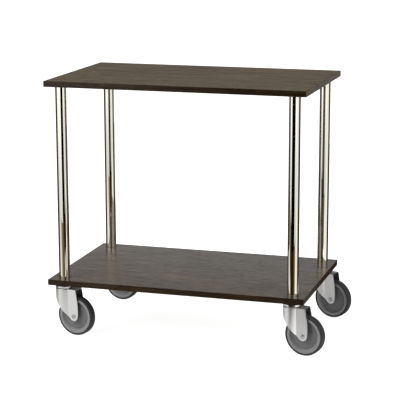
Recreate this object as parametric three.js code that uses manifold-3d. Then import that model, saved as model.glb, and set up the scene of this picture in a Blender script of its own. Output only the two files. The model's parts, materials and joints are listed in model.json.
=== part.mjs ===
// Bar cart: two wood-grain boards on four tube posts, carried by four swivel castors.
// Millimetres, +Z up, +X along the boards, the long front side facing -Y.
// The origin is the middle of the whole cart's box, on the floor.

import * as THREE from 'three';
import { mergeVertices } from 'three/addons/utils/BufferGeometryUtils.js';
import Module from 'manifold-3d';

const wasm = await Module();
wasm.setup();

// ---- driving dimensions -------------------------------------------------------------

const FIT = 0.3; // running and assembly clearance

// Boards
const BOARD_LENGTH = 820;
const BOARD_DEPTH = 500;
const BOARD_THICKNESS = 18;
const BANDING = 1; // edge banding on all four sides

// Posts, screwed down from the castors and up into the top board
const POST_RADIUS = 17.5;
const POST_WALL = 1.5;
const POST_LENGTH = 607;
const POST_INSET_X = 42; // post axis to the end of the board
const POST_INSET_Y = 38; // post axis to the long side of the board
const PLUG_LENGTH = 28;
const STUD_RADIUS = 5;
const STUD_REACH = 11; // stud inside the top board
const INSERT_RADIUS = 7.7;
const INSERT_LENGTH = 12.5;

// Castors
const WHEEL_RADIUS = 62.5;
const TREAD_WIDTH = 26;
const RIM_RADIUS = 55.7;
const CASTOR_HEIGHT = 162; // floor to the underside of the bottom board
const TRAIL = 43; // swivel axis to axle
const RACE_RADIUS = 29.5;
const HOUSING_RADIUS = 29; // round front of the fork, about the swivel axis
const CROWN_TOP = 12.5; // underside of the board to the top of the fork
const CROWN_SHEET = 3;
const LEG_SHEET = 2.5;
const FORK_HALF_WIDTH = 19;
const BOLT_RADIUS = 6;
const AXLE_RADIUS = 5;
const SLEEVE_RADIUS = 7;
const WHEEL_SIDES = 28;

// Corners of the cart: side signs, and the heading that each castor trails in, in
// degrees from +X.
const CORNERS = {
  front_left: { x: -1, y: -1, heading: -12 },
  front_right: { x: 1, y: -1, heading: -13 },
  rear_left: { x: -1, y: 1, heading: -10 },
  rear_right: { x: 1, y: 1, heading: -18 },
};

// ---- heights and stations that follow from them ---------------------------------------

const BOTTOM_TOP = CASTOR_HEIGHT + BOARD_THICKNESS;
const TOP_UNDERSIDE = BOTTOM_TOP + POST_LENGTH;
const POST_X = BOARD_LENGTH / 2 - POST_INSET_X;
const POST_Y = BOARD_DEPTH / 2 - POST_INSET_Y;
const AXLE_DROP = CASTOR_HEIGHT - WHEEL_RADIUS; // underside of the board to the axle

const FINISHES = {
  laminate: { color: 0x5f584f, roughness: 0.45, metalness: 0 },
  banding: { color: 0x33241a, roughness: 0.5, metalness: 0 },
  chrome: { color: 0xd9d6cf, roughness: 0.08, metalness: 1 },
  zinc: { color: 0xcfcfcd, roughness: 0.22, metalness: 1 },
  steel: { color: 0x8f9093, roughness: 0.4, metalness: 1 },
  cage: { color: 0x141414, roughness: 0.6, metalness: 0 },
  rim: { color: 0x86868a, roughness: 0.5, metalness: 0 },
  tyre: { color: 0x3e3e40, roughness: 0.8, metalness: 0 },
};

const cart = new THREE.Group();

// ---- helpers ------------------------------------------------------------------------

const X = new THREE.Vector3(1, 0, 0);
const Y = new THREE.Vector3(0, 1, 0);
const Z = new THREE.Vector3(0, 0, 1);
const degrees = THREE.MathUtils.degToRad;

function addPiece(parent, name, geometry, finish) {
  const piece = new THREE.Mesh(geometry, new THREE.MeshStandardMaterial(FINISHES[finish]));
  piece.name = name;
  parent.add(piece);
  return piece;
}

// A turned piece about +Z: points are [radius, height], outer side upwards.
function turned(points, sides) {
  return turnedAboutY(points, sides).rotateX(Math.PI / 2);
}

function turnedAboutY(points, sides) {
  return new THREE.LatheGeometry(points.map(([r, h]) => new THREE.Vector2(r, h)), sides);
}

function ring(inner, outer, bottom, top, sides) {
  return turned(
    [[inner, bottom], [outer, bottom], [outer, top], [inner, top], [inner, bottom]], sides);
}

function disc(radius, bottom, top, sides) {
  return turned([[0, bottom], [radius, bottom], [radius, top], [0, top]], sides);
}

function rectangle(width, height, Kind = THREE.Shape) {
  const [w, h] = [width / 2, height / 2];
  const outline = [[-w, -h], [w, -h], [w, h], [-w, h]];
  return new Kind(outline.map(([x, y]) => new THREE.Vector2(x, y)));
}

function extruded(shape, depth) {
  return new THREE.ExtrudeGeometry(shape, { depth, bevelEnabled: false, curveSegments: 6 });
}

// An outline drawn in X and Z, swept across the castor and centred on it.
function sweptAcross(shape, width) {
  const across = new THREE.Matrix4().makeBasis(X, Z, Y.clone().negate());
  return extruded(shape, width).translate(0, 0, -width / 2).applyMatrix4(across);
}

// An outline drawn in Y and Z, swept along the castor from one station to another.
function sweptAlong(shape, from, to) {
  const along = new THREE.Matrix4().makeBasis(Y, Z, X);
  return extruded(shape, to - from).translate(0, 0, from).applyMatrix4(along);
}

function solid(geometry) {
  const bare = geometry.clone().deleteAttribute('normal').deleteAttribute('uv');
  const merged = mergeVertices(bare, 1e-4);
  return new wasm.Manifold(new wasm.Mesh({
    numProp: 3,
    vertProperties: new Float32Array(merged.attributes.position.array),
    triVerts: new Uint32Array(merged.index.array),
  }));
}

function geometryOf(body) {
  const mesh = body.getMesh();
  const geometry = new THREE.BufferGeometry();
  geometry.setAttribute('position', new THREE.BufferAttribute(mesh.vertProperties, 3));
  geometry.setIndex(new THREE.BufferAttribute(mesh.triVerts, 1));
  geometry.computeVertexNormals();
  return geometry;
}

// ---- boards -------------------------------------------------------------------------

const postStations = Object.values(CORNERS).map(({ x, y }) => [x * POST_X, y * POST_Y]);
const coreLength = BOARD_LENGTH - 2 * BANDING;
const coreDepth = BOARD_DEPTH - 2 * BANDING;

function bandingRing() {
  const outline = rectangle(BOARD_LENGTH, BOARD_DEPTH);
  outline.holes.push(rectangle(coreLength, coreDepth, THREE.Path));
  return extruded(outline, BOARD_THICKNESS);
}

// Bottom board: a clear field between two ends, which are drilled for the castor bolts.
const endLength = coreLength / 2 - POST_X + 2 * POST_RADIUS;
const fieldLength = coreLength - 2 * endLength;
let bottomBoard = solid(extruded(rectangle(fieldLength, coreDepth), BOARD_THICKNESS));
for (const side of [-1, 1]) {
  const end = extruded(rectangle(endLength, coreDepth), BOARD_THICKNESS)
    .translate(side * (fieldLength + endLength) / 2, 0, 0);
  bottomBoard = bottomBoard.add(solid(end));
}
for (const [x, y] of postStations) {
  const hole = disc(BOLT_RADIUS + FIT, -1, BOARD_THICKNESS + 1, 12).translate(x, y, 0);
  bottomBoard = bottomBoard.subtract(solid(hole));
}
addPiece(cart, 'bottom_shelf', geometryOf(bottomBoard), 'laminate')
  .position.z = CASTOR_HEIGHT;
addPiece(cart, 'bottom_shelf_banding', bandingRing(), 'banding').position.z = CASTOR_HEIGHT;

// Top board: blind holes in the underside for the threaded inserts.
let topBoard = solid(extruded(rectangle(coreLength, coreDepth), BOARD_THICKNESS));
for (const [x, y] of postStations) {
  const pocket = disc(INSERT_RADIUS + FIT, -1, INSERT_LENGTH + FIT, 12).translate(x, y, 0);
  topBoard = topBoard.subtract(solid(pocket));
}
addPiece(cart, 'top_shelf', geometryOf(topBoard), 'laminate').position.z = TOP_UNDERSIDE;
addPiece(cart, 'top_shelf_banding', bandingRing(), 'banding').position.z = TOP_UNDERSIDE;

// ---- posts --------------------------------------------------------------------------

function addPost(corner, { x, y }) {
  const post = new THREE.Group();
  post.position.set(x * POST_X, y * POST_Y, BOTTOM_TOP);
  cart.add(post);

  const bore = POST_RADIUS - POST_WALL;
  const plug = bore - FIT;
  addPiece(post, `${corner}_post`, ring(bore, POST_RADIUS, 0, POST_LENGTH, 28), 'chrome');
  addPiece(post, `${corner}_foot_plug`,
    ring(BOLT_RADIUS + FIT, plug, 0, PLUG_LENGTH, 12), 'steel');
  addPiece(post, `${corner}_head_plug`,
    ring(STUD_RADIUS + FIT, plug, POST_LENGTH - PLUG_LENGTH, POST_LENGTH, 12), 'steel');
  addPiece(post, `${corner}_stud`,
    disc(STUD_RADIUS, POST_LENGTH - PLUG_LENGTH + 4, POST_LENGTH + STUD_REACH, 12), 'steel');
  addPiece(post, `${corner}_insert`,
    ring(STUD_RADIUS + FIT, INSERT_RADIUS, POST_LENGTH, POST_LENGTH + INSERT_LENGTH, 12), 'steel');
}

// ---- castors ------------------------------------------------------------------------
// Each castor has its own frame: the origin is on the swivel axis at the underside of the
// board, +X points along the trail, and the axle runs along Y.

// Pressed cup that the board rests on, with a hub around the bolt.
const upperRace = [
  [BOLT_RADIUS + FIT, -7], [RACE_RADIUS - 1.8, -7], [RACE_RADIUS - 1.8, -10.5],
  [RACE_RADIUS, -10.5], [RACE_RADIUS, -4], [17, -4], [15, 0],
  [BOLT_RADIUS + FIT, 0], [BOLT_RADIUS + FIT, -7],
];

// Hexagon-headed bolt, up through the castor and the board into the post's foot plug.
const BOLT_HEAD_TOP = -22;
function boltGeometry() {
  const head = solid(disc(11, BOLT_HEAD_TOP - 7.5, BOLT_HEAD_TOP, 6));
  const shank = disc(BOLT_RADIUS, BOLT_HEAD_TOP - 1, BOARD_THICKNESS + PLUG_LENGTH - 6, 12);
  return geometryOf(head.add(solid(shank)));
}

// Side view of the fork, in X and Z: a curved front edge that runs down to the round tip
// at the axle, and a bowed rear edge.
const LEG_TIP = 14.5;
function legOutline() {
  const axleZ = -AXLE_DROP;
  const outline = new THREE.Shape();
  outline.moveTo(46.5, 0);
  outline.lineTo(-31, 0);
  outline.lineTo(-30, -26);
  outline.bezierCurveTo(-24, -46, 9, -87, TRAIL - 9.2, axleZ - 11.2);
  outline.absarc(TRAIL, axleZ, LEG_TIP, degrees(231), degrees(350), false);
  outline.bezierCurveTo(TRAIL + 18, axleZ + 19, TRAIL + 15, axleZ + 54, 46.5, 0);
  return outline;
}

// The fork filled in: a round housing about the swivel axis and a straight channel behind
// it, the upper edge rolled over by the given radius.
function forkBlock(radius, halfWidth, top, roll) {
  const foot = -CASTOR_HEIGHT;
  const mid = 0.3 * roll;
  const section = [
    [-halfWidth, foot], [halfWidth, foot], [halfWidth, top - roll], [halfWidth - mid, top - mid],
    [halfWidth - roll, top], [roll - halfWidth, top], [mid - halfWidth, top - mid],
    [-halfWidth, top - roll],
  ];
  const channel = sweptAlong(new THREE.Shape(section.map(([y, z]) => new THREE.Vector2(y, z))), 2, 80);
  const housing = turned([
    [0, foot], [radius, foot], [radius, top - roll], [radius - mid, top - mid],
    [radius - roll, top], [0, top],
  ], 24);
  return solid(housing).add(solid(channel));
}

function forkGeometry() {
  const ceiling = -CROWN_TOP - CROWN_SHEET;
  const shell = forkBlock(HOUSING_RADIUS, FORK_HALF_WIDTH, -CROWN_TOP, 3);
  const hollow = forkBlock(HOUSING_RADIUS - LEG_SHEET, FORK_HALF_WIDTH - LEG_SHEET, ceiling, 1);
  const swivelHole = disc(9, -40, 0, 16);
  const axleHole = new THREE.CylinderGeometry(AXLE_RADIUS + FIT, AXLE_RADIUS + FIT, 80, 12)
    .translate(TRAIL, 0, -AXLE_DROP);
  return geometryOf(shell
    .intersect(solid(sweptAcross(legOutline(), 80)))
    .subtract(hollow)
    .subtract(solid(swivelHole))
    .subtract(solid(axleHole)));
}

// Riveted axle pin with a flat head against the outside of each leg.
const HEAD_SEAT = FORK_HALF_WIDTH + FIT;
const axle = [
  [0, -HEAD_SEAT - 1.6], [7, -HEAD_SEAT - 1.6], [7, -HEAD_SEAT], [AXLE_RADIUS, -HEAD_SEAT],
  [AXLE_RADIUS, HEAD_SEAT], [7, HEAD_SEAT], [7, HEAD_SEAT + 1.6], [0, HEAD_SEAT + 1.6],
];

const SLEEVE_HALF = FORK_HALF_WIDTH - LEG_SHEET - FIT;
const sleeve = [
  [AXLE_RADIUS + FIT, -SLEEVE_HALF], [SLEEVE_RADIUS, -SLEEVE_HALF],
  [SLEEVE_RADIUS, SLEEVE_HALF], [AXLE_RADIUS + FIT, SLEEVE_HALF],
  [AXLE_RADIUS + FIT, -SLEEVE_HALF],
];

// Rim: hub, dished web and a raised outer ring, the same on both sides.
const rimSide = [
  [SLEEVE_RADIUS + FIT, 15.5], [13, 15.5], [14.5, 5.5], [43.5, 4], [48, 11.5], [RIM_RADIUS, 11.5],
];
const rim = [
  ...rimSide.map(([r, w]) => [r, -w]),
  ...rimSide.toReversed(),
  [SLEEVE_RADIUS + FIT, -15.5],
];

const treadRadius = WHEEL_RADIUS / Math.cos(Math.PI / WHEEL_SIDES);
const treadHalf = TREAD_WIDTH / 2;
const tyreSide = [
  [RIM_RADIUS + FIT, treadHalf - 0.8], [treadRadius - 3.5, treadHalf],
  [treadRadius - 1, treadHalf - 1.6], [treadRadius, treadHalf - 5],
];
const tyre = [
  ...tyreSide.map(([r, w]) => [r, -w]),
  ...tyreSide.toReversed(),
  [RIM_RADIUS + FIT, 0.8 - treadHalf],
];

function addCastor(corner, { x, y, heading }) {
  const castor = new THREE.Group();
  castor.position.set(x * POST_X, y * POST_Y, CASTOR_HEIGHT);
  castor.rotation.z = degrees(heading);
  cart.add(castor);
  const clearBolt = BOLT_RADIUS + FIT;

  addPiece(castor, `${corner}_upper_race`, turned(upperRace, 24), 'zinc');
  addPiece(castor, `${corner}_ball_cage`, ring(17, 25, -12.2, -7.3, 20), 'cage');
  addPiece(castor, `${corner}_lower_race`, ring(clearBolt, 19, -21.6, -15.9, 16), 'steel');
  addPiece(castor, `${corner}_bolt`, boltGeometry(), 'steel');
  addPiece(castor, `${corner}_fork`, forkGeometry(), 'zinc');

  const wheel = new THREE.Group();
  wheel.position.set(TRAIL, 0, -AXLE_DROP);
  wheel.rotation.y = Math.PI / WHEEL_SIDES; // a flat of the tread faces down
  castor.add(wheel);
  addPiece(wheel, `${corner}_axle`, turnedAboutY(axle, 12), 'steel');
  addPiece(wheel, `${corner}_sleeve`, turnedAboutY(sleeve, 12), 'steel');
  addPiece(wheel, `${corner}_rim`, turnedAboutY(rim, WHEEL_SIDES), 'rim');
  addPiece(wheel, `${corner}_tyre`, turnedAboutY(tyre, WHEEL_SIDES), 'tyre');
}

for (const [corner, station] of Object.entries(CORNERS)) {
  addPost(corner, station);
  addCastor(corner, station);
}

// ---- origin -------------------------------------------------------------------------

const group = new THREE.Group();
group.add(cart);
const box = new THREE.Box3().setFromObject(cart, true);
const middle = box.getCenter(new THREE.Vector3());
cart.position.set(-middle.x, -middle.y, -box.min.z);
group.updateMatrixWorld(true);

export default group;
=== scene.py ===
import json
from math import atan2, cos, pi, radians, sin, sqrt, tan

import bmesh
import bpy
from mathutils import Matrix, Vector


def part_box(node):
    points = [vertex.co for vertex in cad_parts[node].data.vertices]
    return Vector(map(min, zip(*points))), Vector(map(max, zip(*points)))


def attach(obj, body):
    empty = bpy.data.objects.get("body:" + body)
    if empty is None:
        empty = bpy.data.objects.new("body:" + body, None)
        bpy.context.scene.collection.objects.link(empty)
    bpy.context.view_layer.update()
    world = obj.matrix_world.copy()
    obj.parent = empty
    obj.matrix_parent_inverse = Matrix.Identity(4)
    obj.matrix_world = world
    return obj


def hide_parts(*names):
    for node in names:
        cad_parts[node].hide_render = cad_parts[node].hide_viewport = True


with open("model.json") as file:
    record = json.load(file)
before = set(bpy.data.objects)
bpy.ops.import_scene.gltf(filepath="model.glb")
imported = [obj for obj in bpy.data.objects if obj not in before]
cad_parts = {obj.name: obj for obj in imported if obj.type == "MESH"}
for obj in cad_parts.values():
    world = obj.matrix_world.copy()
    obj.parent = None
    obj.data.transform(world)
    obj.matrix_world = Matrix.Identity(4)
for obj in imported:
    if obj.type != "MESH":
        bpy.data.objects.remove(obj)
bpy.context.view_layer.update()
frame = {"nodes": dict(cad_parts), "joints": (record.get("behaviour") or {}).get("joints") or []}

MM = 0.001
CORNERS = ("front_left", "front_right", "rear_left", "rear_right")
BOARDS = ("top_shelf", "bottom_shelf")

# sizes of the object are in millimetres
POST_RADIUS = 17.5
POST_WALL = 1.5
POST_END_ROUND = 0.5
BOARD_EDGE = 0.12
BANDING_EDGE = 0.3

# a castor's origin is on its swivel axis at the board's underside, and +X trails
HOUSING_RADIUS = 29.0
CROWN_TOP = -12.5
CROWN_SHEET = 3.0
CROWN_ROLL = 3.0
HOLLOW_ROLL = 1.0
LEG_HALF_WIDTH = 19.0
LEG_SHEET = 2.5
CHANNEL_END = 80.0
FILLET_RADIUS = 5.0
FORK_BOTTOM = -130.0
FORK_EDGE = 0.8
TIP_RADIUS = 14.5
TIP_ARC = range(231, 351, 5)  # degrees
SWIVEL_HOLE = 9.0
AXLE_HOLE = 5.3
AXLE_RADIUS = 5.0

WHEEL_RADIUS = 62.5
RIM_RING_RADIUS = 43.6
DIMPLE_RADIUS = 2.3
DIMPLE_PLACE = 28.0
DIMPLE_FLOOR = 1.2
DIMPLE_ANGLES = {"front_left": -1.75, "front_right": 0.59, "rear_left": 2.2, "rear_right": 4.0}

HOUSING_STEPS = 72
FILLET_STEPS = 8
ROLL_STEPS = 8
CURVE_STEPS = 28
TURNED_SIDES = 96
TYRE_SIDES = 128
PIN_SIDES = 48
SMOOTH_ANGLE = radians(32)
FLAT_ANGLE = radians(0.5)
SAME_POINT = 2e-6  # metres


# ---------------------------------------------------------------- mesh helpers


def fillet(points, radii, steps=6):
    """A closed polygon with each corner rounded to its own radius."""
    out = []
    count = len(points)
    for i, (point, radius) in enumerate(zip(points, radii)):
        here = Vector(point)
        if radius <= 0:
            out.append(tuple(here))
            continue
        to_last = (Vector(points[i - 1]) - here).normalized()
        to_next = (Vector(points[(i + 1) % count]) - here).normalized()
        half = to_last.angle(to_next) / 2
        centre = here + (to_last + to_next).normalized() * (radius / sin(half))
        start = here + to_last * (radius / tan(half)) - centre
        end = here + to_next * (radius / tan(half)) - centre
        a0, a1 = atan2(start.y, start.x), atan2(end.y, end.x)
        turn = (a1 - a0 + pi) % (2 * pi) - pi
        for k in range(steps + 1):
            a = a0 + turn * k / steps
            out.append((centre.x + radius * cos(a), centre.y + radius * sin(a)))
    return out


def lathe(profile, sides, closed=True):
    """A turned body round Z from (radius, height) points in millimetres."""
    bm = bmesh.new()
    rings = []
    for r, z in profile:
        if r < 1e-6:
            rings.append([bm.verts.new((0, 0, z * MM))])
        else:
            ring = []
            for k in range(sides):
                a = 2 * pi * k / sides
                ring.append(bm.verts.new((r * MM * cos(a), r * MM * sin(a), z * MM)))
            rings.append(ring)
    pairs = list(zip(rings, rings[1:]))
    if closed:
        pairs.append((rings[-1], rings[0]))
    for a, b in pairs:
        for k in range(sides):
            n = (k + 1) % sides
            corners = [a[k % len(a)], a[n % len(a)], b[n % len(b)], b[k % len(b)]]
            loop = [v for i, v in enumerate(corners) if v not in corners[:i]]
            if len(loop) > 2:
                bm.faces.new(loop)
    bmesh.ops.recalc_face_normals(bm, faces=bm.faces)
    return bm


def prism(rings):
    """A solid from matching rings of points, closed with a flat face at each end."""
    bm = bmesh.new()
    loops = [[bm.verts.new(p) for p in ring] for ring in rings]
    count = len(loops[0])
    for a, b in zip(loops, loops[1:]):
        for k in range(count):
            n = (k + 1) % count
            bm.faces.new((a[k], a[n], b[n], b[k]))
    bm.faces.new(list(reversed(loops[0])))
    bm.faces.new(loops[-1])
    bmesh.ops.recalc_face_normals(bm, faces=bm.faces)
    return bm


def to_mesh(bm, name):
    mesh = bpy.data.meshes.new(name)
    bm.to_mesh(mesh)
    bm.free()
    return mesh


def combine(bm, *steps):
    """bm after each (operation, other bmesh) in turn, worked out exactly."""
    body = bpy.data.objects.new("cut_body", to_mesh(bm, "cut_body"))
    bpy.context.scene.collection.objects.link(body)
    tools = []
    for operation, other in steps:
        tool = bpy.data.objects.new("cut_tool", to_mesh(other, "cut_tool"))
        bpy.context.scene.collection.objects.link(tool)
        tools.append(tool)
        modifier = body.modifiers.new("cut", "BOOLEAN")
        modifier.operation = operation
        modifier.solver = "EXACT"
        modifier.object = tool
    bpy.context.view_layer.update()
    evaluated = body.evaluated_get(bpy.context.evaluated_depsgraph_get())
    out = bmesh.new()
    out.from_mesh(evaluated.to_mesh())
    evaluated.to_mesh_clear()
    for obj in [body, *tools]:
        mesh = obj.data
        bpy.data.objects.remove(obj)
        bpy.data.meshes.remove(mesh)
    bmesh.ops.remove_doubles(out, verts=out.verts, dist=SAME_POINT)
    bmesh.ops.dissolve_degenerate(out, edges=out.edges, dist=SAME_POINT)
    return out


def soften(bm, width, segments=3, angle=35):
    """Rounds the sharp edges of bm to width, in millimetres."""
    bmesh.ops.dissolve_limit(
        bm, angle_limit=FLAT_ANGLE, verts=bm.verts, edges=bm.edges,
        use_dissolve_boundaries=False, delimit={"NORMAL"},
    )
    sharp = [e for e in bm.edges if len(e.link_faces) == 2 and e.calc_face_angle(0) > radians(angle)]
    bmesh.ops.bevel(
        bm, geom=sharp, offset=width * MM, offset_type="OFFSET", segments=segments, profile=0.5,
        affect="EDGES", clamp_overlap=True,
    )
    return bm


def piece(name, bm, place, body, material, replaced, second=None):
    """Makes a finished piece: bm moved by place, riding on body and standing for the CAD node replaced.

    second is (material, test) for the faces that the test picks out."""
    mesh = to_mesh(bm, name)
    if second:
        for face in mesh.polygons:
            face.material_index = int(second[1](face))
    mesh.transform(place)
    mesh.shade_smooth()
    mesh.set_sharp_from_angle(angle=SMOOTH_ANGLE)
    mesh.materials.append(material)
    if second:
        mesh.materials.append(second[0])
    obj = bpy.data.objects.new(name, mesh)
    bpy.context.scene.collection.objects.link(obj)
    flatten = obj.modifiers.new("flatten", "WEIGHTED_NORMAL")
    flatten.keep_sharp = True
    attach(obj, body)
    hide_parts(replaced)


# ---------------------------------------------------------------- materials


def set_stops(color_ramp, stops):
    """Fills a colour ramp with (position, (r, g, b)) stops, in rising order."""
    elements = color_ramp.elements
    elements[0].position, elements[-1].position = stops[0][0], stops[-1][0]
    elements[0].color, elements[-1].color = (*stops[0][1], 1), (*stops[-1][1], 1)
    for position, colour in stops[1:-1]:
        elements.new(position).color = (*colour, 1)


# places of the Mix node's sockets, which share their names
VECTOR_A, VECTOR_B, VECTOR_OUT = 4, 5, 1
COLOUR_A, COLOUR_B, COLOUR_OUT = 6, 7, 2


class Shader:
    """A small wrapper round one material's node tree."""

    def __init__(self, name, **constants):
        self.material = bpy.data.materials.new(name)
        self.material.use_nodes = True
        self.nodes = self.material.node_tree.nodes
        self.links = self.material.node_tree.links
        self.bsdf = self.nodes["Principled BSDF"]
        for key, value in constants.items():
            self.bsdf.inputs[key.replace("_", " ")].default_value = value
        self.coordinates = self.nodes.new("ShaderNodeTexCoord").outputs["Object"]

    def mapped(self, scale, source=None):
        node = self.nodes.new("ShaderNodeMapping")
        node.inputs["Scale"].default_value = scale
        self.links.new(source or self.coordinates, node.inputs["Vector"])
        return node.outputs["Vector"]

    def noise(self, scale, detail=4, roughness=0.55, distortion=0.0, source=None):
        """Noise whose cells are 1/scale metres along each axis."""
        node = self.nodes.new("ShaderNodeTexNoise")
        node.inputs["Scale"].default_value = 1.0
        node.inputs["Detail"].default_value = detail
        node.inputs["Roughness"].default_value = roughness
        node.inputs["Distortion"].default_value = distortion
        self.links.new(self.mapped(scale, source), node.inputs["Vector"])
        return node.outputs["Fac"]

    def spread(self, value, low, high, to_low, to_high):
        """value from low..high stretched to to_low..to_high."""
        node = self.nodes.new("ShaderNodeMapRange")
        node.inputs["From Min"].default_value = low
        node.inputs["From Max"].default_value = high
        node.inputs["To Min"].default_value = to_low
        node.inputs["To Max"].default_value = to_high
        self.links.new(value, node.inputs["Value"])
        return node.outputs["Result"]

    def math(self, operation, a, b):
        node = self.nodes.new("ShaderNodeMath")
        node.operation = operation
        for socket, value in zip(node.inputs, (a, b)):
            if isinstance(value, (int, float)):
                socket.default_value = value
            else:
                self.links.new(value, socket)
        return node.outputs[0]

    def ramp(self, value, *stops):
        """Colour stops as (position, (r, g, b))."""
        node = self.nodes.new("ShaderNodeValToRGB")
        set_stops(node.color_ramp, stops)
        self.links.new(value, node.inputs["Fac"])
        return node.outputs["Color"]

    def set(self, name, value):
        self.links.new(value, self.bsdf.inputs[name])

    def bump(self, height, distance, strength=1.0):
        node = self.nodes.new("ShaderNodeBump")
        node.inputs["Distance"].default_value = distance
        node.inputs["Strength"].default_value = strength
        self.links.new(height, node.inputs["Height"])
        self.links.new(node.outputs["Normal"], self.bsdf.inputs["Normal"])


def grey(value):
    return (value, value, value)


def scaled(colour, factor):
    return tuple(channel * factor for channel in colour)


def wood_material(name, dark, light, roughness, specular=0.28, along_edges=False):
    """Wenge: fine dark pores in a grey-brown ground. The grain runs along X, or along each edge."""
    shader = Shader(name, IOR=1.5, Specular_IOR_Level=specular)
    source = shader.coordinates
    if along_edges:
        normal = shader.nodes.new("ShaderNodeNewGeometry").outputs["Normal"]
        split = shader.nodes.new("ShaderNodeSeparateXYZ")
        shader.links.new(normal, split.inputs[0])
        on_end = shader.math("GREATER_THAN", shader.math("ABSOLUTE", split.outputs["X"], 0), 0.7)
        turned = shader.nodes.new("ShaderNodeMapping")
        turned.inputs["Rotation"].default_value = (0, 0, pi / 2)
        shader.links.new(shader.coordinates, turned.inputs["Vector"])
        choose = shader.nodes.new("ShaderNodeMix")
        choose.data_type = "VECTOR"
        shader.links.new(on_end, choose.inputs["Factor"])
        shader.links.new(shader.coordinates, choose.inputs[VECTOR_A])
        shader.links.new(turned.outputs["Vector"], choose.inputs[VECTOR_B])
        source = choose.outputs[VECTOR_OUT]
    broad = shader.noise((3.2, 11, 11), detail=3, source=source)
    mottle = shader.noise((38, 90, 90), detail=3, roughness=0.6, distortion=0.2, source=source)
    streak = shader.noise((7, 150, 150), detail=5, roughness=0.62, distortion=0.18, source=source)
    pores = shader.noise((45, 1150, 1150), detail=2, roughness=0.5, source=source)
    broad_tone = shader.spread(broad, 0.3, 0.7, -0.10, 0.10)
    streak_tone = shader.spread(streak, 0.28, 0.72, 0.08, 0.92)
    mottle_tone = shader.spread(mottle, 0.3, 0.7, -0.2, 0.2)
    tone = shader.math("ADD", shader.math("ADD", broad_tone, streak_tone), mottle_tone)
    pore = shader.spread(pores, 0.52, 0.66, 0.0, 0.34)
    value = shader.math("SUBTRACT", tone, pore)
    middle = tuple((a + b) / 2 for a, b in zip(dark, light))
    shader.set("Base Color", shader.ramp(value, (0.05, dark), (0.5, middle), (0.95, light)))
    shader.set("Roughness", shader.spread(value, 0.0, 1.0, roughness + 0.05, roughness - 0.03))
    shader.bump(shader.math("SUBTRACT", shader.math("MULTIPLY", streak, 0.4), pore), 0.00012, 0.16)
    return shader.material


def metal_material(name, colour, roughness, grain, wear, bump, stretch=(1, 1, 1)):
    """Bright metal with a fine grain and faint smudges."""
    shader = Shader(name, Metallic=1.0)
    fine = shader.noise(tuple(grain * k for k in stretch), detail=3)
    smudge = shader.noise((26, 26, 26), detail=4, roughness=0.6, distortion=0.4)
    tone = shader.math("ADD", shader.math("MULTIPLY", smudge, 0.7), shader.math("MULTIPLY", fine, 0.3))
    shader.set("Base Color", shader.ramp(tone, (0.3, scaled(colour, 1 - wear)), (0.62, colour)))
    broad_gloss = shader.spread(smudge, 0.3, 0.7, roughness * 0.8, roughness * 1.25)
    fine_gloss = shader.spread(fine, 0.3, 0.7, -0.04 * roughness, 0.1 * roughness)
    shader.set("Roughness", shader.math("ADD", broad_gloss, fine_gloss))
    shader.bump(fine, bump)
    return shader.material


def moulded_material(name, colour, roughness, grain, contrast, bump):
    """Moulded plastic or rubber with a fine matt grain and slightly uneven tone."""
    shader = Shader(name, IOR=1.48)
    fine = shader.noise((grain, grain, grain), detail=3, roughness=0.6)
    cloud = shader.noise((30, 30, 30), detail=5, roughness=0.6)
    value = shader.math("ADD", shader.math("MULTIPLY", cloud, 0.65), shader.math("MULTIPLY", fine, 0.35))
    low, high = scaled(colour, 1 - contrast), scaled(colour, 1 + contrast)
    shader.set("Base Color", shader.ramp(value, (0.32, low), (0.66, high)))
    shader.set("Roughness", shader.spread(value, 0.3, 0.7, roughness + 0.07, roughness - 0.07))
    shader.bump(fine, bump)
    return shader.material


MATERIALS = {
    "laminate": wood_material(
        "laminate", dark=(0.012, 0.0065, 0.0028), light=(0.108, 0.081, 0.050), roughness=0.24),
    "banding": wood_material(
        "banding", dark=(0.007, 0.003, 0.0006), light=(0.037, 0.0215, 0.008), roughness=0.34,
        specular=0.20, along_edges=True),
    "chrome": metal_material(
        "chrome", (0.93, 0.90, 0.79), roughness=0.04, grain=120, wear=0.03, bump=0.0000002,
        stretch=(1, 1, 0.05)),
    "zinc": metal_material(
        "zinc", (0.90, 0.90, 0.895), roughness=0.34, grain=600, wear=0.06, bump=0.00001),
    "zinc_polished": metal_material(
        "zinc_polished", (0.88, 0.88, 0.875), roughness=0.10, grain=400, wear=0.05, bump=0.000001),
    # painted shade: the fork's hollow is the same zinc, rougher, with its colour darkened for the shadow
    # inside the fork
    "zinc_inside_painted_shade": metal_material(
        "zinc_inside_painted_shade", (0.24, 0.24, 0.238), roughness=0.5, grain=700, wear=0.2, bump=0.00003),
    "steel": metal_material(
        "steel", (0.60, 0.61, 0.62), roughness=0.22, grain=900, wear=0.14, bump=0.00001),
    "cage": moulded_material(
        "cage", (0.02, 0.02, 0.02), roughness=0.5, grain=1500, contrast=0.3, bump=0.00003),
    "rim": moulded_material(
        "rim", (0.128, 0.128, 0.130), roughness=0.42, grain=1700, contrast=0.10, bump=0.00003),
    # painted light: the raised ring and its slope into the dish are the rim's plastic painted lighter for
    # the light the ring catches
    "rim_ring_painted_light": moulded_material(
        "rim_ring_painted_light", (0.225, 0.225, 0.227), roughness=0.40, grain=1700, contrast=0.08, bump=0.00003),
    "tyre": moulded_material(
        "tyre", (0.026, 0.026, 0.0265), roughness=0.58, grain=1400, contrast=0.18, bump=0.00005),
}
# the material of the CAD nodes in each corner of the cart, by the end of their names
MATERIAL_OF_SUFFIX = {
    "_foot_plug": "steel", "_head_plug": "steel", "_stud": "steel", "_insert": "steel",
    "_ball_cage": "cage", "_lower_race": "steel", "_bolt": "steel", "_sleeve": "steel",
    "_post": "chrome", "_upper_race": "zinc", "_fork": "zinc", "_axle": "steel",
    "_rim": "rim", "_tyre": "tyre",
}


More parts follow.
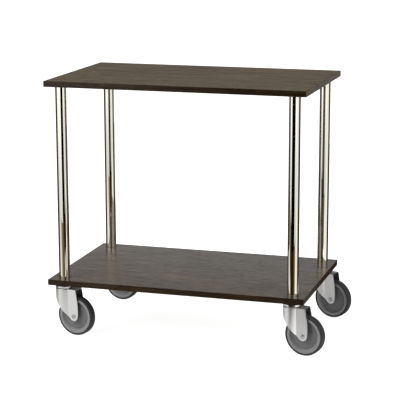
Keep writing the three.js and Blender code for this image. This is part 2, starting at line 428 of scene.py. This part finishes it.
def paint(node, material):
    """Gives a CAD node its procedural material."""
    mesh = frame["nodes"][node].data
    mesh.materials.clear()
    mesh.materials.append(MATERIALS[material])


for corner in CORNERS:
    for suffix, material in MATERIAL_OF_SUFFIX.items():
        paint(corner + suffix, material)
for node in BOARDS:
    paint(node, "laminate")
    paint(node + "_banding", "banding")


# ---------------------------------------------------------------- boards


def ease_edges(node, width):
    """Rounds a CAD node's sharp edges without touching its own mesh."""
    obj = frame["nodes"][node]
    weld = obj.modifiers.new("weld", "WELD")
    weld.merge_threshold = 1e-5
    bevel = obj.modifiers.new("ease", "BEVEL")
    bevel.width = width * MM
    bevel.segments = 2
    bevel.limit_method = "ANGLE"
    bevel.angle_limit = radians(40)
    bevel.use_clamp_overlap = True


for node in BOARDS:
    ease_edges(node, BOARD_EDGE)
    ease_edges(node + "_banding", BANDING_EDGE)


# ---------------------------------------------------------------- posts


def post_mesh(length):
    """A tube with lightly rounded ends."""
    outer, inner = POST_RADIUS, POST_RADIUS - POST_WALL
    section = [(outer, 0), (outer, length), (inner, length), (inner, 0)]
    return lathe(fillet(section, [POST_END_ROUND] * 4, 4), TURNED_SIDES)


for corner in CORNERS:
    low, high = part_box(corner + "_post")
    place = Matrix.Translation(((low.x + high.x) / 2, (low.y + high.y) / 2, low.z))
    piece(corner + "_tube", post_mesh((high.z - low.z) / MM), place, "cart_frame",
          MATERIALS["chrome"], corner + "_post")


# ---------------------------------------------------------------- castors


def plan_outline(radius, half_width, fillet_radius):
    """Points and outward normals round the fork's top: a round housing run into a straight channel."""
    centre_y = LEG_HALF_WIDTH + FILLET_RADIUS
    centre_x = sqrt((HOUSING_RADIUS + FILLET_RADIUS) ** 2 - centre_y ** 2)
    touch = atan2(centre_y, centre_x)

    def hollow_turn(side):
        """The turn from the housing into one side of the channel."""
        turn = []
        for k in range(1, FILLET_STEPS + 1):
            a = touch + pi + (pi / 2 - touch) * k / FILLET_STEPS
            x, y = centre_x + fillet_radius * cos(a), centre_y + fillet_radius * sin(a)
            turn.append(((x, side * y), (-cos(a), -side * sin(a))))
        return turn

    points = []
    for k in range(HOUSING_STEPS + 1):
        a = touch + (2 * pi - 2 * touch) * k / HOUSING_STEPS
        points.append(((radius * cos(a), radius * sin(a)), (cos(a), sin(a))))
    points += hollow_turn(-1)
    points += [((CHANNEL_END, -half_width), (0, -1)), ((CHANNEL_END, half_width), (0, 1))]
    points += reversed(hollow_turn(1))
    return points


def fork_block(radius, half_width, fillet_radius, top, roll):
    """The fork's outside or its hollow, standing full height, with a rolled top edge."""
    outline = plan_outline(radius, half_width, fillet_radius)
    rings = [[(x * MM, y * MM, FORK_BOTTOM * MM) for (x, y), normal in outline]]
    for k in range(ROLL_STEPS + 1):
        a = pi / 2 * k / ROLL_STEPS
        inward, z = roll * (1 - cos(a)), top - roll * (1 - sin(a))
        ring = []
        for (x, y), (out_x, out_y) in outline:
            ring.append(((x - out_x * inward) * MM, (y - out_y * inward) * MM, z * MM))
        rings.append(ring)
    return prism(rings)


def bezier(p0, p1, p2, p3):
    """Points along a cubic curve, without its first."""
    out = []
    for k in range(1, CURVE_STEPS + 1):
        t = k / CURVE_STEPS
        out.append(tuple(
            (1 - t) ** 3 * a + 3 * (1 - t) ** 2 * t * b + 3 * (1 - t) * t ** 2 * c + t ** 3 * d
            for a, b, c, d in zip(p0, p1, p2, p3)
        ))
    return out


def leg_outline(trail, axle_z):
    """The fork's side view: crown, forward curve, round tip and rear curve, as (x, z)."""
    tip = [(trail + TIP_RADIUS * cos(radians(a)), axle_z + TIP_RADIUS * sin(radians(a))) for a in TIP_ARC]
    crown_front, crown_rear = (-30, -26), (46.5, 0)
    points = [crown_rear, (-31, 0), crown_front]
    points += bezier(crown_front, (-24, -46), (9, -87), tip[0])
    points += tip[1:]
    points += bezier(tip[-1], (trail + 18, axle_z + 19), (trail + 15, axle_z + 54), crown_rear)[:-1]
    return points


def round_bar(radius, sides, low, high, centre=(0, 0, 0), along_y=False):
    """A bar from low to high along Z or Y past centre, to cut a hole with."""
    rings = []
    for h in (low, high):
        ring = []
        for k in range(sides):
            a = 2 * pi * k / sides
            u, v = radius * cos(a), radius * sin(a)
            x, y, z = (u, h, v) if along_y else (u, v, h)
            ring.append(((x + centre[0]) * MM, (y + centre[1]) * MM, (z + centre[2]) * MM))
        rings.append(ring)
    return prism(rings)


def fork_mesh(trail, axle_z):
    """A pressed fork: the housing and its legs, hollowed, cut to the side view and drilled."""
    inner_radius, inner_half = HOUSING_RADIUS - LEG_SHEET, LEG_HALF_WIDTH - LEG_SHEET
    inner_fillet = HOUSING_RADIUS + FILLET_RADIUS - inner_radius
    inner_top = CROWN_TOP - CROWN_SHEET
    side = [[(x * MM, y * MM, z * MM) for x, z in leg_outline(trail, axle_z)] for y in (-40, 40)]
    bm = combine(
        fork_block(HOUSING_RADIUS, LEG_HALF_WIDTH, FILLET_RADIUS, CROWN_TOP, CROWN_ROLL),
        ("INTERSECT", prism(side)),
        ("DIFFERENCE", fork_block(inner_radius, inner_half, inner_fillet, inner_top, HOLLOW_ROLL)),
        ("DIFFERENCE", round_bar(SWIVEL_HOLE, 48, -40, 10)),
        ("DIFFERENCE", round_bar(AXLE_HOLE, 40, -40, 40, (trail, 0, axle_z), along_y=True)),
    )
    return soften(bm, FORK_EDGE)


def in_hollow(face):
    """True for the faces of the fork's hollow: those that look at the middle of the channel, or down from
    under the crown."""
    x, y, z = face.center / MM
    on_top = z > CROWN_TOP - 1
    outside_leg = x > 0 and abs(y) > LEG_HALF_WIDTH - LEG_SHEET + 0.3
    inward_x = min(x, 0)
    towards_middle = -(face.normal.x * inward_x + face.normal.y * y)
    looks_inward = towards_middle > 0.5 * sqrt(inward_x ** 2 + y ** 2)
    under_crown = face.normal.z < -0.7 and z > -40
    return not on_top and not outside_leg and (looks_inward or under_crown)


def race_mesh():
    """The turned cup between the board and the fork."""
    section = [(6.3, -7), (27.7, -7), (27.7, -10.5), (29.5, -10.5), (29.5, -4), (17, -4), (15, 0), (6.3, 0)]
    return lathe(fillet(section, [0.3, 0.6, 0.5, 0.5, 2.0, 2.5, 0.8, 0.3]), TURNED_SIDES)


def along_axle(bm):
    """bm turned from the Z axis to the Y axis."""
    bmesh.ops.rotate(bm, cent=(0, 0, 0), matrix=Matrix.Rotation(pi / 2, 3, "X"), verts=bm.verts)
    return bm


def axle_mesh():
    """A riveted pin along Y: on each side a flat head, whose middle is a dome in a groove."""
    head = [(0, 20.75), (1.2, 20.7), (2.3, 20.5), (3.3, 20.1), (4.1, 19.7), (4.7, 19.7), (5.3, 20.5),
            (5.8, 20.7), (6.4, 20.6), (7.0, 20.0), (7.0, 19.4), (AXLE_RADIUS, 19.35)]
    other_head = [(r, -z) for r, z in reversed(head)]
    return along_axle(lathe(head + other_head, PIN_SIDES, closed=False))


def wheel_part(half, radii, sides):
    """A ring along Z whose faces mirror each other. half is one face's (radius, height) points."""
    section = half + [(r, -z) for r, z in reversed(half)]
    return lathe(fillet(section, radii + radii[::-1]), sides)


def rim_mesh(dimple_angle):
    """A rim with a dished face in a raised ring, and a round dimple in the dish."""
    half = [(7.3, 15.5), (13, 15.5), (14.5, 5.5), (43.5, 4), (48, 11.5), (55.7, 11.5)]
    rim = wheel_part(half, [0.4, 1.0, 2.6, 3.0, 1.6, 0.7], TURNED_SIDES)
    place = (DIMPLE_PLACE * cos(dimple_angle), DIMPLE_PLACE * sin(dimple_angle), 0)
    near = round_bar(DIMPLE_RADIUS, 24, DIMPLE_FLOOR, 8, place)
    far = round_bar(DIMPLE_RADIUS, 24, -8, -DIMPLE_FLOOR, place)
    return along_axle(combine(rim, ("DIFFERENCE", near), ("DIFFERENCE", far)))


def in_rim_ring(face):
    """True for the faces outside the rim's dish."""
    return sqrt(face.center.x ** 2 + face.center.z ** 2) > RIM_RING_RADIUS * MM


def tyre_mesh():
    """A tyre whose tread falls away to its shoulders."""
    half = [(56.0, 11.9), (56.4, 12.3), (59.0, 13.0), (WHEEL_RADIUS - 0.4, 10.6), (WHEEL_RADIUS, 6.0)]
    return along_axle(wheel_part(half, [0.0, 0.3, 1.6, 3.0, 3.0], TYRE_SIDES))


JOINTS = {joint["name"]: joint for joint in frame["joints"]}
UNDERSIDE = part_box("bottom_shelf")[0].z

for corner in CORNERS:
    swivel, roll = JOINTS[corner + "_swivel"], JOINTS[corner + "_roll"]
    heading = atan2(-roll["axis"][0], roll["axis"][1])
    origin = Vector((swivel["pos_m"][0], swivel["pos_m"][1], UNDERSIDE))
    place = Matrix.Translation(origin) @ Matrix.Rotation(heading, 4, "Z")
    axle = place.inverted() @ Vector(roll["pos_m"])
    trail, axle_z = axle.x / MM, axle.z / MM
    wheel_place = place @ Matrix.Translation(axle)
    castor, wheel = corner + "_castor", corner + "_wheel"
    piece(corner + "_race_cup", race_mesh(), place, "cart_frame", MATERIALS["zinc_polished"],
          corner + "_upper_race")
    # the faces of the fork's hollow take the zinc darkened with painted shade
    piece(corner + "_fork_shell", fork_mesh(trail, axle_z), place, castor, MATERIALS["zinc"],
          corner + "_fork", (MATERIALS["zinc_inside_painted_shade"], in_hollow))
    piece(corner + "_axle_pin", axle_mesh(), wheel_place, castor, MATERIALS["steel"],
          corner + "_axle")
    # the faces outside the dish take the rim plastic painted lighter, as painted light
    piece(corner + "_wheel_rim", rim_mesh(DIMPLE_ANGLES[corner]), wheel_place, wheel,
          MATERIALS["rim"], corner + "_rim", (MATERIALS["rim_ring_painted_light"], in_rim_ring))
    piece(corner + "_wheel_tyre", tyre_mesh(), wheel_place, wheel, MATERIALS["tyre"],
          corner + "_tyre")


# ---------------------------------------------------------------- studio

# places in the studio are in metres, and the camera's angles in degrees
CAMERA_YAW = 16.778
CAMERA_PITCH = 12.14
CAMERA_ROLL = -0.103
LENS = 133.57
SENSOR = 36.0
CAMERA_PLACE = (1.3128, -4.4145, 1.4002)

FLOOR_REACH = 30
FLOOR_GLOW = 0.86
SHEET_STRENGTH = 1.25
PANEL_Y, PANEL_HIGH, PANEL_FAR = -1.04, 3.0, 2.3
GAP_LEFT, GAP_RIGHT = -0.27, 0.80
STAGING_LEFT, STAGING_RIGHT, STAGING_HIGH = -0.84, -0.62, 0.22
STAGING_FROM, STAGING_TO = -0.95, 0.9
STEP_X = 0.0
NEAR_FLOOR_TO, NEAR_FLOOR_BACK = 0.95, 0.5
DULL_BACK = -0.32
BACK_Y, BACK_HIGH = 1.7, 0.72
SIDE_LOW, SIDE_HIGH = 0.3, 0.65
DARK_WALL = (0.030, 0.024, 0.016)
OTHER_RAYS = 0.85

camera_data = bpy.data.cameras.new("camera")
camera_data.sensor_width = SENSOR
camera_data.lens = LENS
camera_data.clip_end = 100
camera = bpy.data.objects.new("camera", camera_data)
camera.matrix_world = (
    Matrix.Translation(CAMERA_PLACE)
    @ Matrix.Rotation(radians(CAMERA_YAW), 4, "Z")
    @ Matrix.Rotation(radians(90 - CAMERA_PITCH), 4, "X")
    @ Matrix.Rotation(radians(CAMERA_ROLL), 4, "Z")
)
bpy.context.scene.collection.objects.link(camera)
bpy.context.scene.camera = camera
bpy.context.scene.view_settings.view_transform = "Standard"


def flat_card(name, corners, material):
    """A flat four-cornered sheet that isn't part of the cart."""
    bm = bmesh.new()
    bm.faces.new([bm.verts.new(p) for p in corners])
    mesh = to_mesh(bm, name)
    mesh.materials.append(material)
    obj = bpy.data.objects.new(name, mesh)
    bpy.context.scene.collection.objects.link(obj)
    return obj


def upright(left, right, y, low, high):
    return [(left, y, low), (right, y, low), (right, y, high), (left, y, high)]


def lying(left, right, front, rear, z):
    return [(left, front, z), (right, front, z), (right, rear, z), (left, rear, z)]


floor_shader = Shader("floor", Roughness=0.9)
floor_tone = floor_shader.noise((2, 2, 2), detail=3)
floor_shader.set("Base Color", floor_shader.ramp(floor_tone, (0.3, grey(0.55)), (0.7, grey(0.57))))
floor_shader.bsdf.inputs["Emission Color"].default_value = (1, 1, 1, 1)
floor_shader.bsdf.inputs["Emission Strength"].default_value = FLOOR_GLOW
floor_corners = lying(-FLOOR_REACH, FLOOR_REACH, -FLOOR_REACH, FLOOR_REACH, 0)
floor = flat_card("floor", floor_corners, floor_shader.material)
floor.visible_glossy = False
floor.visible_diffuse = False


def emitter(name, axis, *stops):
    """A light-giving material. stops are (place along the axis in metres, colour), in rising order."""
    shader = Shader(name, Base_Color=(0, 0, 0, 1), Specular_IOR_Level=0.0, Roughness=1.0)
    split = shader.nodes.new("ShaderNodeSeparateXYZ")
    shader.links.new(shader.coordinates, split.inputs[0])
    low, high = stops[0][0], stops[-1][0]
    along = shader.spread(split.outputs[axis], low, high, 0.0, 1.0)
    colours = shader.ramp(along, *[((place - low) / (high - low), colour) for place, colour in stops])
    shader.set("Emission Color", colours)
    shader.bsdf.inputs["Emission Strength"].default_value = SHEET_STRENGTH
    return shader.material


def reflected_only(name, corners, material, lights_object=False):
    """Makes a studio sheet that the cart reflects and the camera never sees. It may also light the cart."""
    obj = flat_card(name, corners, material)
    obj.visible_camera = False
    obj.visible_diffuse = lights_object
    obj.visible_shadow = False
    obj.visible_transmission = False


# two white panels in front of the cart with a dark gap between them
panel = emitter(
    "panel", "Z", (0.0, grey(0.54)), (0.1, grey(0.57)), (0.3, grey(0.68)), (0.5, grey(0.9)),
    (0.8, grey(1.0)))
black = emitter("gap", "Z", (0.0, grey(0.0)), (1.0, grey(0.002)))
reflected_only("panel_left", upright(-PANEL_FAR, GAP_LEFT, PANEL_Y, 0, PANEL_HIGH), panel, True)
reflected_only("panel_right", upright(GAP_RIGHT, PANEL_FAR, PANEL_Y, 0, PANEL_HIGH), panel, True)
reflected_only("panel_gap", upright(GAP_LEFT, GAP_RIGHT, PANEL_Y, 0, PANEL_HIGH), black, True)

# the brown edge of the staging, low down between them and the cart, and nearer the cart on the right
staging = emitter(
    "staging", "X", (STAGING_FROM, (0.74, 0.69, 0.63)), (-0.6, (0.25, 0.22, 0.15)),
    (-0.4, (0.115, 0.077, 0.03)), (-0.1, (0.054, 0.038, 0.016)), (0.1, (0.022, 0.012, 0.004)),
    (0.36, (0.012, 0.006, 0.002)), (0.58, (0.075, 0.052, 0.026)), (0.72, (0.16, 0.125, 0.07)),
    (STAGING_TO, (0.56, 0.52, 0.40)))
reflected_only("staging_left", upright(STAGING_FROM, STEP_X, STAGING_LEFT, 0.0, STAGING_HIGH), staging)
reflected_only("staging_right", upright(STEP_X, STAGING_TO, STAGING_RIGHT, 0.0, STAGING_HIGH), staging)


def near_floor(name, left, right, front, brightness):
    """Makes a piece of the reflected floor from the staging to behind the cart, duller towards the back."""
    material = emitter(
        name, "Y", (front, grey(brightness)), (-0.35, grey(brightness)), (-0.2, grey(0.46)),
        (0.05, grey(0.33)), (NEAR_FLOOR_BACK, grey(0.26)))
    reflected_only(name, lying(left, right, front, NEAR_FLOOR_BACK, -0.002), material)


near_floor("floor_left", STAGING_FROM, STEP_X, STAGING_LEFT, 0.60)
near_floor("floor_right", STEP_X, NEAR_FLOOR_TO, STAGING_RIGHT, 0.98)
# a duller strip of it where the gap stands over it
floor_dull = emitter("floor_dull", "Y", (STAGING_RIGHT, grey(0.42)), (DULL_BACK, grey(0.50)))
reflected_only("floor_dull", lying(0.1, 0.35, STAGING_RIGHT, DULL_BACK, -0.001), floor_dull)

# a low bright panel behind the cart, which only the lower board reflects
back = emitter("back", "Z", (0.0, (0.43, 0.45, 0.48)), (BACK_HIGH, (0.46, 0.48, 0.51)))
reflected_only("panel_back", upright(-1.7, 0.55, BACK_Y, 0, BACK_HIGH), back)
# a small one to the right of it for the top board's end
side = emitter("side", "Z", (SIDE_LOW, (0.84, 0.78, 0.68)), (SIDE_HIGH, (0.90, 0.84, 0.74)))
reflected_only("panel_side", upright(0.62, 0.95, BACK_Y, SIDE_LOW, SIDE_HIGH), side)

# the background: the cart reflects walls that are white in front of it, dark at its sides and dim behind
# it, the camera sees white, and other rays find a pale grey
world = bpy.data.worlds.new("studio")
bpy.context.scene.world = world
world.use_nodes = True
tree = world.node_tree
background = tree.nodes["Background"]


def world_node(kind, **properties):
    """A node of the background with the given properties."""
    node = tree.nodes.new(kind)
    for key, value in properties.items():
        setattr(node, key, value)
    return node


direction = world_node("ShaderNodeTexCoord").outputs["Generated"]
flat = world_node("ShaderNodeVectorMath", operation="MULTIPLY")
flat.inputs[1].default_value = (1, 1, 0)
tree.links.new(direction, flat.inputs[0])
unit = world_node("ShaderNodeVectorMath", operation="NORMALIZE")
tree.links.new(flat.outputs[0], unit.inputs[0])
ahead = world_node("ShaderNodeVectorMath", operation="DOT_PRODUCT")
ahead.inputs[1].default_value = (sin(radians(CAMERA_YAW)), -cos(radians(CAMERA_YAW)), 0)
tree.links.new(unit.outputs[0], ahead.inputs[0])
share = world_node("ShaderNodeMapRange")
share.inputs["From Min"].default_value = -1
tree.links.new(ahead.outputs["Value"], share.inputs["Value"])
walls = world_node("ShaderNodeValToRGB")
set_stops(walls.color_ramp, [
    (0.0, (0.20, 0.185, 0.15)), (0.03, (0.16, 0.15, 0.125)), (0.05, DARK_WALL), (0.54, DARK_WALL),
    (0.59, grey(0.7)), (0.65, grey(0.95)), (1.0, grey(1.0)),
])
tree.links.new(share.outputs["Result"], walls.inputs["Fac"])
rays = world_node("ShaderNodeLightPath")
pick = world_node("ShaderNodeMix", data_type="RGBA")
tree.links.new(rays.outputs["Is Glossy Ray"], pick.inputs["Factor"])
pick.inputs[COLOUR_A].default_value = (*grey(OTHER_RAYS), 1)
tree.links.new(walls.outputs["Color"], pick.inputs[COLOUR_B])
seen = world_node("ShaderNodeMix", data_type="RGBA")
tree.links.new(rays.outputs["Is Camera Ray"], seen.inputs["Factor"])
tree.links.new(pick.outputs[COLOUR_OUT], seen.inputs[COLOUR_A])
seen.inputs[COLOUR_B].default_value = (1, 1, 1, 1)
tree.links.new(seen.outputs[COLOUR_OUT], background.inputs["Color"])
background.inputs["Strength"].default_value = 1.0


def soft_light(name, place, target, size, power):
    """Makes a rectangular light at place that faces target and isn't seen in reflections."""
    data = bpy.data.lights.new(name, "AREA")
    data.shape = "RECTANGLE"
    data.size, data.size_y = size
    data.energy = power
    obj = bpy.data.objects.new(name, data)
    obj.location = place
    obj.rotation_euler = (Vector(target) - Vector(place)).to_track_quat("-Z", "Y").to_euler()
    obj.visible_glossy = False
    bpy.context.scene.collection.objects.link(obj)


MIDDLE = (0, 0, 0.4)
soft_light("key", (-2.6, -2.6, 3.2), MIDDLE, (2.4, 2.4), 150)
soft_light("fill", (3.4, 0.2, 1.8), MIDDLE, (2.0, 2.4), 40)
